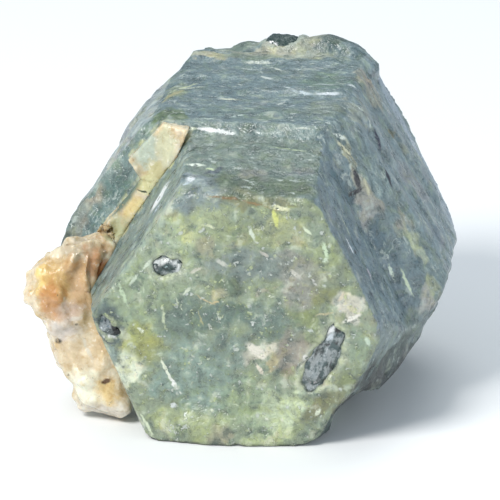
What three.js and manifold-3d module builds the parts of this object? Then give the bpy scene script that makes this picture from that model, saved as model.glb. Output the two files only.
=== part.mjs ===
// A natural sapphire crystal lying on one of its sides. A narrow six-sided tier at the front has
// grown on a wider one behind it, feldspar fills the ledge between them on the left, and a few
// flakes of mica are set in the surface. Lengths are in millimetres, +Z is up, the six-sided end
// faces -Y, and the origin is under the middle of the specimen, on the surface that it rests on.
import * as THREE from "three";
import { ConvexGeometry } from "three/addons/geometries/ConvexGeometry.js";
import { mergeVertices } from "three/addons/utils/BufferGeometryUtils.js";
import Module from "manifold-3d";

const wasm = await Module();
wasm.setup();

// ---- driving dimensions ----

const axisHeight = 9; // the crystal's long axis runs along Y, this high above its underside
const ledgeAt = 6.8; // from the six-sided end to where the ledge begins
const fitGap = 0.2; // between two minerals that touch
const blockSize = 80; // the rough block that the facets are cut from

// A side facet faces away from the axis at the angle `side`, measured from +X towards +Z. Its
// reach is its distance from the axis at the place `at` along Y, and it closes in towards the
// front by `taper` degrees.
const facet = (side, reach, taper = 0, at = 0) => ({ side, reach, taper, at });
const frontTier = {
  top: facet(88.5, 8.4, 12.5),
  upperRight: facet(26, 8.55, 3.5),
  lowerRight: facet(-23.8, 9.17, 20.5),
  bottomRight: facet(-35.5, 9.35, 17.5),
  bottom: facet(-90, axisHeight),
  lowerLeft: facet(-157, 8.7, 6),
  upperLeft: facet(146.5, 7.5, 7.5),
};
const rearTier = {
  top: facet(90, 10.75),
  upperRight: facet(32.3, 11.23),
  lowerRight: facet(-28.5, 12.0),
  bottomRight: facet(-46, 10.95),
  bottom: facet(-90, axisHeight),
  lowerLeft: facet(-158, 11.9),
  upperLeft: facet(144, 11.5),
};
// The ledge isn't square: its outer edge is bevelled, and the lower right side has no ledge.
const ledgeBevels = [
  facet(90, 10.75, 48, 7.6),
  facet(31, 11.1, 52, 8.4),
  facet(32.3, 11.0, 24, 9.4),
  facet(147, 11.2, 56, 8.2),
  facet(-157, 11.9, 50, 7.8),
  frontTier.lowerRight,
  frontTier.bottomRight,
];
// The rim of the six-sided end is worn, most of all at the lower left.
const rimWear = {
  top: 0.12,
  upperRight: 0.16,
  lowerRight: 0.2,
  bottom: 0.08,
  lowerLeft: 0.42,
  upperLeft: 0.14,
};

// Worn corners, each as a plane through `point` that faces along `facing`.
const wornCorners = [
  { point: [-5.6, 0, 0.3], facing: [-0.55, -0.2, -0.81] },
  { point: [-6.85, 0, 2.0], facing: [-0.82, -0.2, -0.53] },
  { point: [-9.2, 0.2, 8.6], facing: [-0.9, -0.42, 0.1] },
  { point: [9.45, 0.1, 8.1], facing: [0.9, -0.42, 0.04] },
  { point: [-2.9, 0.35, 17.45], facing: [-0.3, -0.62, 0.72] },
  { point: [5.25, 0.1, 16.95], facing: [0.55, -0.45, 0.7] },
  { point: [4.95, 0, 0.3], facing: [0.45, -0.25, -0.86] },
  { point: [6.35, 14, 19.62], facing: [0.5, -0.035, 0.86] },
  { point: [-5.75, 14, 19.62], facing: [-0.5, 0.02, 0.86] },
];

// The rear end is broken off, along several planes and hollows.
const breaks = [
  { point: [-5.4, 22.0, 19.7], facing: [-0.86, 0.5, -0.06] },
  { point: [-5.2, 22.2, 19.7], facing: [-0.36, 0.92, 0.1] },
  { point: [-10.3, 11.3, 13.9], facing: [-0.82, 0.34, 0.22] },
  { point: [8.2, 22.9, 17.0], facing: [0.3, 0.95, 0.08] },
  { point: [11.4, 20.6, 12.0], facing: [0.75, 0.66, 0.03] },
  { point: [13.7, 17.0, 8.4], facing: [0.9, 0.42, -0.1] },
  { point: [1.0, 24.6, 19.7], facing: [0.04, 0.98, 0.16] },
  { point: [-0.5, 24.0, 9.0], facing: [-0.1, 0.97, -0.2] },
  { point: [2.0, 22.4, 2.0], facing: [0.1, 0.86, -0.5] },
];
const hollows = [
  { centre: [-6.8, 27.2, 14.2], size: [5.6, 5.6, 5.6] },
  { centre: [4.6, 30.6, 12.6], size: [7.2, 7.2, 7.2] },
  { centre: [-3.6, 28.4, 5.0], size: [6.0, 6.0, 6.0] },
  { centre: [11.6, 24.8, 4.6], size: [7.0, 7.0, 7.0] },
  { centre: [7.9, 5.0, 0.6], size: [2.3, 5.0, 2.2], tilt: -21 }, // under the lower right edge
];
// The rear edge of the top stands up in a knobbly crest: its grains as centre and radius, and the
// heart that their surface is seen from.
const crestHeart = new THREE.Vector3(1.0, 21.6, 17.0);
const crestGrains = [
  [-4.2, 21.9, 18.9, 1.15],
  [-1.6, 22.8, 19.05, 1.25],
  [0.6, 22.7, 19.3, 1.35],
  [2.4, 22.4, 19.15, 1.3],
  [3.9, 23.0, 19.4, 1.4],
  [5.5, 22.6, 19.1, 1.35],
  [6.5, 21.8, 18.7, 1.2],
];

// Growth steps: low terraces across a side, from `left` to `right` (clockwise round the crystal)
// and from `from` to `to` along it, standing `rise` proud of the side.
const step = (on, from, to, left, right, rise) => ({ on, from, to, left, right, rise });
const rearSteps = [
  step(rearTier.top, 8.9, 10.3, -5.9, 6.2, 0.1),
  step(rearTier.top, 13.7, 15.2, -1.2, 6.1, 0.16),
  step(rearTier.top, 16.4, 18.0, -5.4, 1.6, 0.12),
  step(rearTier.top, 19.9, 21.9, -4.9, 5.4, 0.18),
  step(rearTier.upperRight, 10.2, 11.4, -5.7, 6.4, 0.14),
  step(rearTier.upperRight, 12.3, 14.2, -6.0, -0.4, 0.3),
  step(rearTier.upperRight, 13.1, 15.6, 1.4, 6.9, 0.22),
  step(rearTier.upperRight, 17.3, 19.4, -5.8, 5.0, 0.2),
  step(rearTier.lowerRight, 8.9, 11.3, -4.4, 2.4, 0.2),
  step(rearTier.lowerRight, 12.6, 14.6, -5.4, 3.0, 0.16),
  step(rearTier.lowerLeft, 8.6, 10.6, -3.2, 6.2, 0.18),
  step(rearTier.lowerLeft, 12.0, 14.9, -4.6, 3.4, 0.24),
  step(rearTier.upperLeft, 9.0, 10.6, -5.6, 4.8, 0.14),
  step(rearTier.upperLeft, 12.6, 15.0, -1.8, 6.1, 0.2),
  step(rearTier.upperLeft, 17.2, 19.0, 0.6, 6.3, 0.14),
];
const frontSteps = [
  step(frontTier.top, 3.4, 4.6, -3.2, 0.9, 0.09),
  step(frontTier.top, 5.2, 6.2, -1.6, 4.6, 0.08),
  step(frontTier.upperRight, 4.4, 5.6, -4.6, 3.4, 0.1),
];

// Open cracks, as lines on a side or on the six-sided end.
const sixSidedEnd = "six-sided end";
const crack = (on, width, ...line) => ({ on, width, line });
const cracks = [
  crack(rearTier.upperRight, 0.3, [-3.4, 12.2], [-1.6, 12.0], [0.2, 11.7], [2.6, 11.8]),
  crack(rearTier.upperRight, 0.22, [-5.4, 15.9], [-2.2, 16.3], [0.6, 16.1]),
  crack(rearTier.top, 0.16, [-4.6, 18.7], [-1.0, 19.0], [2.6, 18.6]),
  crack(sixSidedEnd, 0.18, [-4.72, 5.68], [-3.9, 4.2], [-3.14, 2.88]),
  crack(sixSidedEnd, 0.2, [-1.9, 11.2], [-0.8, 10.1], [0.5, 10.5], [1.9, 9.8]),
];

// Wide dents and small pits in the six-sided end, spread like the seeds of a sunflower.
const dents = { count: 13, spread: 8.2, width: 2.6, depth: 0.1, start: 0 };
const pits = { count: 15, spread: 7.4, width: 0.42, depth: 0.22, start: 2.1 };
const goldenAngle = Math.PI * (3 - Math.sqrt(5));

// Small nicks along the sharp edges.
const nick = { spacing: 2.3, size: 0.34, bite: 0.45 };

// Mica flakes in the six-sided end, as outlines in X and Z.
const flakeThickness = 0.8;
const flakeProud = 0.06; // how far a flake stands out of the end
const micaFlakes = {
  mica_flake_right: [
    [4.5, 4.55], [5.1, 4.0], [6.15, 4.5], [7.0, 6.4],
    [7.35, 8.2], [6.6, 8.85], [5.75, 7.4], [5.0, 6.0],
  ],
  mica_flake_centre: [
    [-5.05, 12.5], [-4.85, 11.8], [-4.15, 11.65], [-3.4, 12.0], [-3.45, 12.65], [-4.35, 12.95],
  ],
  mica_flake_left: [
    [-8.55, 8.75], [-8.6, 7.75], [-7.95, 7.25], [-7.4, 7.5], [-7.95, 8.4],
  ],
};
const crestFlake = { centre: [0.95, 22.9, 20.3], width: 2.4, length: 1.7, height: 0.95 };

// Grains of the feldspar, as centre and radius, and the heart that their surface is seen from.
const chunkHeart = new THREE.Vector3(-10.9, 4.6, 6.6);
const chunkGrains = [
  [-12.35, 4.3, 8.5, 2.0],
  [-12.6, 4.8, 9.8, 1.2],
  [-10.6, 4.9, 10.9, 1.5],
  [-9.5, 5.5, 11.6, 1.0],
  [-11.2, 4.2, 7.0, 1.7],
  [-11.5, 4.5, 5.2, 1.5],
  [-10.8, 4.0, 3.6, 1.6],
  [-10.0, 3.6, 2.0, 1.55],
  [-8.2, 3.6, 1.4, 1.3],
  [-8.6, 4.2, 3.4, 1.7],
  [-9.4, 4.6, 5.4, 1.8],
  [-9.8, 6.4, 5.0, 1.8],
];
const seamBody = [
  [-5.3, 6.7, 19.7], [-3.6, 6.3, 19.5], [-4.3, 5.7, 17.8],
  [-5.4, 5.8, 15.9], [-6.8, 6.1, 16.1], [-7.6, 6.7, 17.1],
];
const seamTail = [
  [-5.2, 6.0, 16.6], [-6.6, 6.2, 16.2], [-9.9, 6.0, 11.2], [-8.6, 5.5, 11.0],
];
const seamBack = 9.5;
const lowestFeldspar = 0.15;

// ---- helpers ----

const radians = THREE.MathUtils.degToRad;
const vector = (list) => new THREE.Vector3(...list);

// A closed three.js geometry as a manifold-3d solid.
function solidOf(geometry) {
  const plain = geometry.clone();
  plain.deleteAttribute("normal");
  plain.deleteAttribute("uv");
  const merged = mergeVertices(plain, 1e-5);
  return new wasm.Manifold(
    new wasm.Mesh({
      numProp: 3,
      vertProperties: merged.attributes.position.array,
      triVerts: new Uint32Array(merged.index.array),
    }),
  );
}

// A manifold-3d solid as a three.js geometry.
function geometryOf(solid) {
  const mesh = solid.getMesh();
  const geometry = new THREE.BufferGeometry();
  geometry.setAttribute("position", new THREE.BufferAttribute(mesh.vertProperties, 3));
  geometry.setIndex(new THREE.BufferAttribute(mesh.triVerts, 1));
  geometry.computeVertexNormals();
  return geometry;
}

// The largest separate body of a solid.
function largestBody(solid) {
  return solid.decompose().sort((a, b) => b.volume() - a.volume())[0];
}

// Cuts away what lies beyond the plane through `point` that faces along `facing`.
function cutBeyond(solid, point, facing) {
  const block = new THREE.BoxGeometry(blockSize * 2, blockSize * 2, blockSize);
  block.translate(0, 0, blockSize / 2);
  const turn = new THREE.Quaternion().setFromUnitVectors(new THREE.Vector3(0, 0, 1), facing);
  block.applyQuaternion(turn);
  block.translate(point.x, point.y, point.z);
  return solid.subtract(solidOf(block));
}

// The place of a facet: X runs clockwise round the crystal as seen from the front, Y along the
// crystal and Z out of the facet. The six-sided end has X to the right, Y up and Z to the front.
function placeOn(on) {
  if (on === sixSidedEnd) {
    return new THREE.Matrix4().makeBasis(vector([1, 0, 0]), vector([0, 0, 1]), vector([0, -1, 0]));
  }
  const a = radians(on.side);
  const t = radians(on.taper);
  const across = vector([Math.sin(a), 0, -Math.cos(a)]);
  const along = vector([Math.cos(a) * Math.sin(t), Math.cos(t), Math.sin(a) * Math.sin(t)]);
  const out = vector([Math.cos(a) * Math.cos(t), -Math.sin(t), Math.sin(a) * Math.cos(t)]);
  const foot = vector([Math.cos(a) * on.reach, on.at, axisHeight + Math.sin(a) * on.reach]);
  return new THREE.Matrix4().makeBasis(across, along, out).setPosition(foot);
}

// Cuts a solid back to a facet, which is first moved outwards by `grow`.
function cutToFacet(solid, on, grow) {
  const place = placeOn(on);
  const out = new THREE.Vector3().setFromMatrixColumn(place, 2);
  const foot = new THREE.Vector3().setFromMatrixPosition(place);
  return cutBeyond(solid, foot.addScaledVector(out, grow), out);
}

// Where two neighbouring facets of a tier meet, at the place `y` along the crystal.
function ringCorner(first, second, y) {
  const reachAt = ({ reach, taper, at }) => reach + (y - at) * Math.tan(radians(taper));
  const [a, b] = [radians(first.side), radians(second.side)];
  const [p, q] = [reachAt(first), reachAt(second)];
  const turn = Math.sin(b - a);
  const x = (p * Math.sin(b) - q * Math.sin(a)) / turn;
  const z = (q * Math.cos(a) - p * Math.cos(b)) / turn;
  return new THREE.Vector3(x, y, z + axisHeight);
}

// ---- growth, wear and breakage ----

// A tier of the crystal: a block cut by its side facets and by a flat front.
function cutTier(facets, frontAt, grow) {
  let solid = solidOf(new THREE.BoxGeometry(blockSize, blockSize, blockSize));
  for (const on of facets) solid = cutToFacet(solid, on, grow);
  return cutBeyond(solid, vector([0, frontAt - grow, 0]), vector([0, -1, 0]));
}

// A low terrace that narrows towards the rear, with uneven ends.
function growthStep({ on, from, to, left, right, rise }) {
  const sunk = 0.6;
  const length = to - from;
  const uneven = (k) => 0.25 * length * (1 + Math.sin(from * 3.7 + k * 2.3));
  const corners = [
    [left, from],
    [right, from + 0.2 * uneven(0)],
    [right - uneven(1), from + 0.5 * length],
    [right - uneven(1) - uneven(2), to],
    [left + uneven(3) + uneven(4), to - 0.2 * uneven(5)],
    [left + uneven(3), from + 0.6 * length],
  ];
  const outline = new THREE.Shape(corners.map(([x, y]) => new THREE.Vector2(x, y)));
  const slab = new THREE.ExtrudeGeometry(outline, { depth: sunk + rise, bevelEnabled: false });
  slab.translate(0, 0, -sunk);
  return solidOf(slab.applyMatrix4(placeOn(on)));
}

// A crack, as grooves with a V section along its line.
function crackCutters({ on, width, line }) {
  const cutters = [];
  for (let i = 1; i < line.length; i++) {
    const from = new THREE.Vector2(...line[i - 1]);
    const to = new THREE.Vector2(...line[i]);
    const bar = new THREE.BoxGeometry(from.distanceTo(to) + 0.6 * width, width, width);
    bar.rotateX(Math.PI / 4);
    bar.rotateZ(to.clone().sub(from).angle());
    bar.translate((from.x + to.x) / 2, (from.y + to.y) / 2, 0);
    cutters.push(solidOf(bar.applyMatrix4(placeOn(on))));
  }
  return cutters;
}

// The dents or pits of the six-sided end.
function dentCutters({ count, spread, width, depth, start }) {
  const cutters = [];
  for (let i = 0; i < count; i++) {
    const r = spread * Math.sqrt((i + 0.5) / count);
    const turn = start + goldenAngle * i;
    const size = width * (1 + 0.4 * Math.sin(4.1 * i));
    const deep = depth * (1 + 0.5 * Math.sin(2.7 * i + 1));
    const ball = new THREE.IcosahedronGeometry(1, width > 1 ? 2 : 1);
    ball.rotateY(i);
    ball.scale(size, size * 0.7, 2.2 * deep);
    ball.rotateZ(1.3 * i);
    ball.translate(r * Math.cos(turn), axisHeight + r * Math.sin(turn), 1.2 * deep);
    cutters.push(solidOf(ball.applyMatrix4(placeOn(sixSidedEnd))));
  }
  return cutters;
}

// Nicks at uneven places along an edge.
function nickCutters(start, end, seed) {
  const cutters = [];
  const count = Math.round(start.distanceTo(end) / nick.spacing);
  for (let i = 0; i < count; i++) {
    const t = (i + 0.5 + 0.4 * Math.sin(seed * 1.9 + 2.3 * i)) / count;
    const size = nick.size * (1 + 0.55 * Math.sin(seed * 2.7 + 3.1 * i));
    const at = start.clone().lerp(end, t);
    const along = start.y < ledgeAt ? at.y - 6 : 0;
    const out = new THREE.Vector3(at.x, along, at.z - axisHeight).normalize();
    const ball = new THREE.IcosahedronGeometry(size, 1);
    ball.scale(1.5, 1, 1);
    ball.rotateY(seed + i);
    ball.rotateZ(2 * i);
    at.addScaledVector(out, size * (1 - nick.bite));
    ball.translate(at.x, at.y, at.z);
    cutters.push(solidOf(ball));
  }
  return cutters;
}

// The nicks on the rim of the six-sided end and along the corners of both tiers.
function allNicks() {
  const cutters = [];
  const front = Object.values(frontTier);
  const rear = Object.values(rearTier);
  const corner = (tier, i, y) => ringCorner(tier[i % tier.length], tier[(i + 1) % tier.length], y);
  for (let i = 0; i < front.length; i++) {
    cutters.push(...nickCutters(corner(front, i, 0), corner(front, i + 1, 0), i));
    cutters.push(...nickCutters(corner(front, i, 0.5), corner(front, i, ledgeAt), i + 7));
    cutters.push(...nickCutters(corner(rear, i, 8), corner(rear, i, 20), i + 14));
  }
  return cutters;
}

// A faceted ball, stretched and tilted about X: a lump to add, or a hollow to cut.
function lump({ centre, size, tilt = 0 }, turn = 0) {
  const ball = new THREE.IcosahedronGeometry(1, 2);
  ball.rotateX(turn);
  ball.scale(...size);
  ball.rotateX(radians(tilt));
  ball.translate(...centre);
  return solidOf(ball);
}

// ---- the crystal ----

// A tier with its growth steps, which end where the tier's own edges do.
function steppedTier(facets, frontAt, grow, steps) {
  let solid = cutTier(facets, frontAt, grow);
  for (const one of steps) {
    const room = cutTier(facets, frontAt, one.rise);
    solid = solid.add(growthStep(one).intersect(room));
  }
  return solid;
}

// The rear tier's broken end.
function breakEnd(solid, grow) {
  let left = solid;
  for (const { point, facing } of breaks) {
    const out = vector(facing).normalize();
    left = cutBeyond(left, vector(point).addScaledVector(out, grow), out);
  }
  return left;
}

// Both tiers joined, with every face moved outwards by `grow`.
function crystalBody(grow, stepsInFront = [], stepsBehind = [], crest = null) {
  const beyondLedge = vector([0, ledgeAt + 3, 0]);
  const sides = Object.values(rearTier);
  const front = steppedTier([...Object.values(frontTier), ...sides], 0, grow, stepsInFront);
  const rear = steppedTier([...sides, ...ledgeBevels], ledgeAt, grow, stepsBehind);
  const crested = crest ? rear.add(crest) : rear;
  return cutBeyond(front, beyondLedge, vector([0, 1, 0])).add(breakEnd(crested, grow));
}

function wornCrystal() {
  const crest = blendedLump(crestHeart, crestGrains);
  let body = crystalBody(0, frontSteps, rearSteps, crest);
  for (const [name, wear] of Object.entries(rimWear)) {
    const { side, reach } = frontTier[name];
    body = cutToFacet(body, facet(side, reach - wear, 45), 0);
  }
  for (const { point, facing } of wornCorners) {
    body = cutBeyond(body, vector(point), vector(facing).normalize());
  }
  const cutters = [
    ...hollows.map(lump),
    ...cracks.flatMap(crackCutters),
    ...dentCutters(dents),
    ...dentCutters(pits),
    ...allNicks(),
  ];
  for (const cutter of cutters) body = body.subtract(cutter);
  return cutBeyond(body, vector([0, 0, 0]), vector([0, 0, -1]));
}

// ---- the mica ----

// A flat plate with an outline in X and Z, between two places along Y.
function plate(outline, front, back, grow) {
  const middle = new THREE.Vector2();
  for (const [x, z] of outline) middle.add(new THREE.Vector2(x, z).divideScalar(outline.length));
  const corners = outline.map(([x, z]) => {
    const away = new THREE.Vector2(x, z).sub(middle);
    return away.setLength(away.length() + grow).add(middle);
  });
  const depth = back - front;
  const sheet = new THREE.ExtrudeGeometry(new THREE.Shape(corners), { depth, bevelEnabled: false });
  sheet.rotateX(Math.PI / 2); // the outline now stands in X and Z, and the depth runs to -Y
  sheet.translate(0, back, 0);
  return solidOf(sheet);
}

// A flake in the six-sided end: a stack of two cleavage sheets, the front one smaller.
function endFlake(outline) {
  const sheet = 0.14;
  const whole = plate(outline, -flakeProud + sheet, flakeThickness, 0);
  const upper = plate(outline, -flakeProud, flakeThickness, -0.42);
  return whole.add(upper.translate([0.12, 0, 0.16]));
}

function crestPlate(grow) {
  const { centre, width, length, height } = crestFlake;
  return lump({ centre, size: [width / 2 + grow, length / 2 + grow, height / 2 + grow] });
}

// ---- the feldspar ----

// The distance from `heart` along `way` to the blended surface of the grains.
function blendedReach(heart, way, grains) {
  const pull = (p) =>
    grains.reduce((sum, [x, y, z, r]) => {
      const off = (p.x - x) ** 2 + (p.y - y) ** 2 + (p.z - z) ** 2;
      return sum + Math.exp(2.2 * (1 - off / (r * r)));
    }, 0);
  let reach = 12;
  while (reach > 0.2 && pull(way.clone().multiplyScalar(reach).add(heart)) < 1) reach -= 0.03;
  return reach;
}

// Grains blended into one lump with a knobbly skin.
function blendedLump(heart, grains) {
  const ball = new THREE.IcosahedronGeometry(1, 9);
  const position = ball.attributes.position;
  const way = new THREE.Vector3();
  for (let i = 0; i < position.count; i++) {
    way.fromBufferAttribute(position, i).normalize();
    const p = way.clone().multiplyScalar(blendedReach(heart, way, grains)).add(heart);
    const knobs = Math.sin(2.3 * p.x + 1.1 * p.z) + Math.sin(2.9 * p.y - p.x);
    p.addScaledVector(way, 0.07 * (knobs + Math.sin(3.1 * p.z + 2 * p.y)));
    position.setXYZ(i, p.x, p.y, p.z);
  }
  return solidOf(ball);
}

// A body with flat faces: the hull of a front outline and of the same outline further back.
function wedge(outline) {
  const front = outline.map(vector);
  const back = outline.map(([x, , z]) => new THREE.Vector3(x, seamBack, z));
  return solidOf(new ConvexGeometry([...front, ...back]));
}

function feldspar() {
  const joined = blendedLump(chunkHeart, chunkGrains).add(wedge(seamBody)).add(wedge(seamTail));
  const fitted = joined.subtract(crystalBody(fitGap));
  return largestBody(cutBeyond(fitted, vector([0, 0, lowestFeldspar]), vector([0, 0, -1])));
}

// ---- materials and the assembled specimen ----

const finish = (color, roughness, metalness = 0) =>
  new THREE.MeshStandardMaterial({ color, roughness, metalness, flatShading: true });
const sapphireFinish = finish(0x8a9d94, 0.42);
const feldsparFinish = finish(0xe6d3b4, 0.6);
const micaFinish = finish(0x4a5558, 0.25, 0.3);

const specimen = new THREE.Group();
function place(name, solid, material) {
  const mesh = new THREE.Mesh(geometryOf(solid), material);
  mesh.name = name;
  specimen.add(mesh);
}

let crystal = wornCrystal();
for (const [name, outline] of Object.entries(micaFlakes)) {
  crystal = crystal.subtract(plate(outline, -1, flakeThickness + fitGap, fitGap));
  place(name, endFlake(outline), micaFinish);
}
crystal = crystal.subtract(crestPlate(fitGap));
place("mica_flake_crest", crestPlate(0), micaFinish);
place("sapphire_crystal", largestBody(crystal), sapphireFinish);
place("feldspar_matrix", feldspar(), feldsparFinish);

// The origin goes under the middle of the specimen.
const box = new THREE.Box3().setFromObject(specimen);
const middle = box.getCenter(new THREE.Vector3());
specimen.position.set(-middle.x, -middle.y, -box.min.z);

export default specimen;
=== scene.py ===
import math

import bpy
from mathutils import Matrix, Vector, noise
from mathutils.bvhtree import BVHTree


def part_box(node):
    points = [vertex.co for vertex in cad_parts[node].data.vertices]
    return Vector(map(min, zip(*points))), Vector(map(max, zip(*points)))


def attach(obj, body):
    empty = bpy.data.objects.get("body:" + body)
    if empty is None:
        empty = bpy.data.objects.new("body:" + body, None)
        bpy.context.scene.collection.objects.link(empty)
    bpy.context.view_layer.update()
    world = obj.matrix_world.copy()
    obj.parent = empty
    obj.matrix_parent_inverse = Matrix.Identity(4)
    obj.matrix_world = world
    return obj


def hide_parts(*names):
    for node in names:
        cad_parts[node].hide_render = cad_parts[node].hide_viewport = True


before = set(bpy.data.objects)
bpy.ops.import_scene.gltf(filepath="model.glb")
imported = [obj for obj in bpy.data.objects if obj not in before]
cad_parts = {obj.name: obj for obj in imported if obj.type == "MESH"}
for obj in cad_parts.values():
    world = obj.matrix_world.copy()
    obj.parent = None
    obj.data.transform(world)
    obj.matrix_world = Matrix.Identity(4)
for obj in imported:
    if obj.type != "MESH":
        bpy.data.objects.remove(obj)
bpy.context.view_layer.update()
print("frame loaded")

noise.seed_set(776)  # the same noise on every run
mm = 0.001
axisFromRight = 13.484  # from the right side of the crystal to its long axis
axisHeight = 9
ledgeAt = 6.9  # from the six-sided end to the ledge
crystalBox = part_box("sapphire_crystal")
# on the floor, under the middle of the six-sided end
endCentre = Vector((crystalBox[1].x - axisFromRight * mm, crystalBox[0].y, 0))


def inRow(x, y, z):  # from millimetres on the crystal to the row frame
    return endCentre + Vector((x, y, z)) * mm


def onCrystal(point):  # and back
    return (point - endCentre) / mm


# camera, light and floor

cameraSpot = {"aim": (-0.03, 10.82, 9.54), "turn": 6.5, "rise": 21, "away": 300, "lens": 321.5}


def placeCamera(spot):
    turn, rise = math.radians(spot["turn"]), math.radians(spot["rise"])
    back = Vector((math.sin(turn) * math.cos(rise), -math.cos(turn) * math.cos(rise), math.sin(rise)))
    right = Vector((math.cos(turn), math.sin(turn), 0))
    up = back.cross(right)
    data = bpy.data.cameras.new("studioCamera")
    data.lens = spot["lens"]
    data.clip_start = 0.01
    data.clip_end = 20
    camera = bpy.data.objects.new("studioCamera", data)
    bpy.context.scene.collection.objects.link(camera)
    turned = Matrix((right, up, back)).transposed().to_4x4()
    camera.matrix_world = Matrix.Translation(inRow(*spot["aim"]) + back * spot["away"] * mm) @ turned
    bpy.context.scene.camera = camera


studio = {
    "skyColour": (0.8, 0.92, 1.04),
    "skyStrength": 0.5,
    "floorColour": (0.91, 0.92, 0.92),
    "aim": (0, 10, 6),
    "softboxes": {
        "key": {"at": (-125, -145, 218), "size": 106, "power": 0.69, "colour": (1.0, 0.985, 0.96)},
        "fill": {"at": (200, -60, 62), "size": 120, "power": 0.07, "colour": (0.94, 0.97, 1.0)},
        "top": {"at": (10, 110, 230), "size": 150, "power": 0.17, "colour": (0.98, 0.99, 1.0)},
    },
}


def areaLight(name, lamp):
    data = bpy.data.lights.new(name, "AREA")
    data.shape = "DISK"
    data.size = lamp["size"] * mm
    data.energy = lamp["power"]
    data.color = lamp["colour"]
    softbox = bpy.data.objects.new(name, data)
    softbox.location = inRow(*lamp["at"])
    softbox.rotation_euler = (inRow(*studio["aim"]) - softbox.location).to_track_quat("-Z", "Y").to_euler()
    bpy.context.scene.collection.objects.link(softbox)


def lightStudio():
    world = bpy.data.worlds.new("studioSky")
    world.use_nodes = True
    sky = world.node_tree.nodes["Background"]
    sky.inputs["Color"].default_value = (*studio["skyColour"], 1)
    sky.inputs["Strength"].default_value = studio["skyStrength"]
    bpy.context.scene.world = world
    bpy.context.scene.view_settings.view_transform = "Standard"
    for name, lamp in studio["softboxes"].items():
        areaLight(name + "Softbox", lamp)
    bpy.ops.object.select_all(action="DESELECT")
    bpy.ops.mesh.primitive_plane_add(size=3, location=(0, 0, 0))
    floor = bpy.context.object
    floor.name = "studioFloor"
    paper = bpy.data.materials.new("palePaper")
    paper.use_nodes = True
    shader = paper.node_tree.nodes["Principled BSDF"]
    shader.inputs["Base Color"].default_value = (*studio["floorColour"], 1)
    shader.inputs["Roughness"].default_value = 0.9
    shader.inputs["Specular IOR Level"].default_value = 0.1
    floor.data.materials.append(paper)


placeCamera(cameraSpot)
lightStudio()
print("camera, light and floor placed")


# shader sums

class Wire:  # a shader socket that takes part in sums
    def __init__(self, tree, socket=None):
        self.tree = tree
        self.socket = socket

    def add(self, nodeType, settings=None, inputs=None, output=0):
        node = self.tree.nodes.new(nodeType)
        for name, value in (settings or {}).items():
            setattr(node, name, value)
        for key, value in (inputs or {}).items():
            socket = node.inputs[key]
            if isinstance(value, Wire):
                self.tree.links.new(value.socket, socket)
            else:
                socket.default_value = value
        return Wire(self.tree, node.outputs[output])

    def math(self, operation, first, second=0.0):
        return self.add("ShaderNodeMath", {"operation": operation}, {0: first, 1: second})

    def __add__(self, other):
        return self.math("ADD", self, other)

    def __sub__(self, other):
        return self.math("SUBTRACT", self, other)

    def __mul__(self, other):
        return self.math("MULTIPLY", self, other)

    def __rsub__(self, other):
        return self.math("SUBTRACT", other, self)

    __radd__ = __add__

    def vector(self, operation, other=None, output=0):
        inputs = {0: self} if other is None else {0: self, 1: other}
        return self.add("ShaderNodeVectorMath", {"operation": operation}, inputs, output)

    def scaled(self, amount):
        return self.add("ShaderNodeVectorMath", {"operation": "SCALE"}, {0: self, "Scale": amount})

    def stretched(self, scale, move=(0, 0, 0)):
        inputs = {"Vector": self, "Location": move, "Scale": scale}
        return self.add("ShaderNodeMapping", {"vector_type": "POINT"}, inputs)

    def noise(self, scale, detail=3.0, rough=0.55, output=0, warp=0.0):
        inputs = {"Vector": self, "Scale": scale, "Detail": detail, "Roughness": rough, "Distortion": warp}
        return self.add("ShaderNodeTexNoise", None, inputs, output)

    def cells(self, scale):
        inputs = {"Vector": self, "Scale": scale}
        return self.add("ShaderNodeTexVoronoi", {"feature": "F1"}, inputs, "Distance")

    def between(self, low, high, toLow=0.0, toHigh=1.0):  # a soft step from low to high
        inputs = {"Value": self, "From Min": low, "From Max": high, "To Min": toLow, "To Max": toHigh}
        return self.add("ShaderNodeMapRange", {"interpolation_type": "SMOOTHSTEP"}, inputs)

    def mixed(self, base, top, blend="MIX"):  # base below, top above, by this mask
        inputs = {0: self, 6: base, 7: top}
        settings = {"data_type": "RGBA", "blend_type": blend, "clamp_factor": True}
        return self.add("ShaderNodeMix", settings, inputs, 2)

    def shaded(self, value):  # a colour made lighter or darker
        return self.add("ShaderNodeHueSaturation", None, {"Color": self, "Value": value})

    def swayed(self, sway, amount):  # coordinates pushed about by a noise colour
        return self.vector("ADD", sway.vector("SUBTRACT", (0.5, 0.5, 0.5)).scaled(amount))

    def attribute(self, name, output):
        return self.add("ShaderNodeAttribute", {"attribute_name": name}, None, output)


def tone(red, green, blue, light=1.0):  # a finish's own colour, from how it looks under this much light
    def linear(value):
        value = value / 255
        return value / 12.92 if value <= 0.04045 else ((value + 0.055) / 1.055) ** 2.4

    gloss, darkest = 0.04, 0.012
    return tuple(max(darkest, (linear(value) - gloss) / light) for value in (red, green, blue)) + (1,)


def newFinish(name):
    material = bpy.data.materials.new(name)
    material.use_nodes = True
    shader = material.node_tree.nodes["Principled BSDF"]
    place = Wire(material.node_tree).add("ShaderNodeTexCoord", None, None, "Object")
    spot = place.stretched((1 / mm, 1 / mm, 1 / mm), tuple(-endCentre / mm))  # millimetres on the crystal
    return material, shader, spot


def plug(shader, name, wire):
    shader.id_data.links.new(wire.socket, shader.inputs[name])


def plugBump(shader, height, strength, depth):  # small relief, its depth in millimetres
    inputs = {"Strength": strength, "Distance": depth * mm, "Height": height}
    plug(shader, "Normal", height.add("ShaderNodeBump", None, inputs))


def glassy(shader, index, weight, radius, scale):  # how light bends and sinks in, scale in millimetres
    shader.inputs["IOR"].default_value = index
    shader.inputs["Subsurface Weight"].default_value = weight
    shader.inputs["Subsurface Radius"].default_value = radius
    shader.inputs["Subsurface Scale"].default_value = scale * mm


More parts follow.
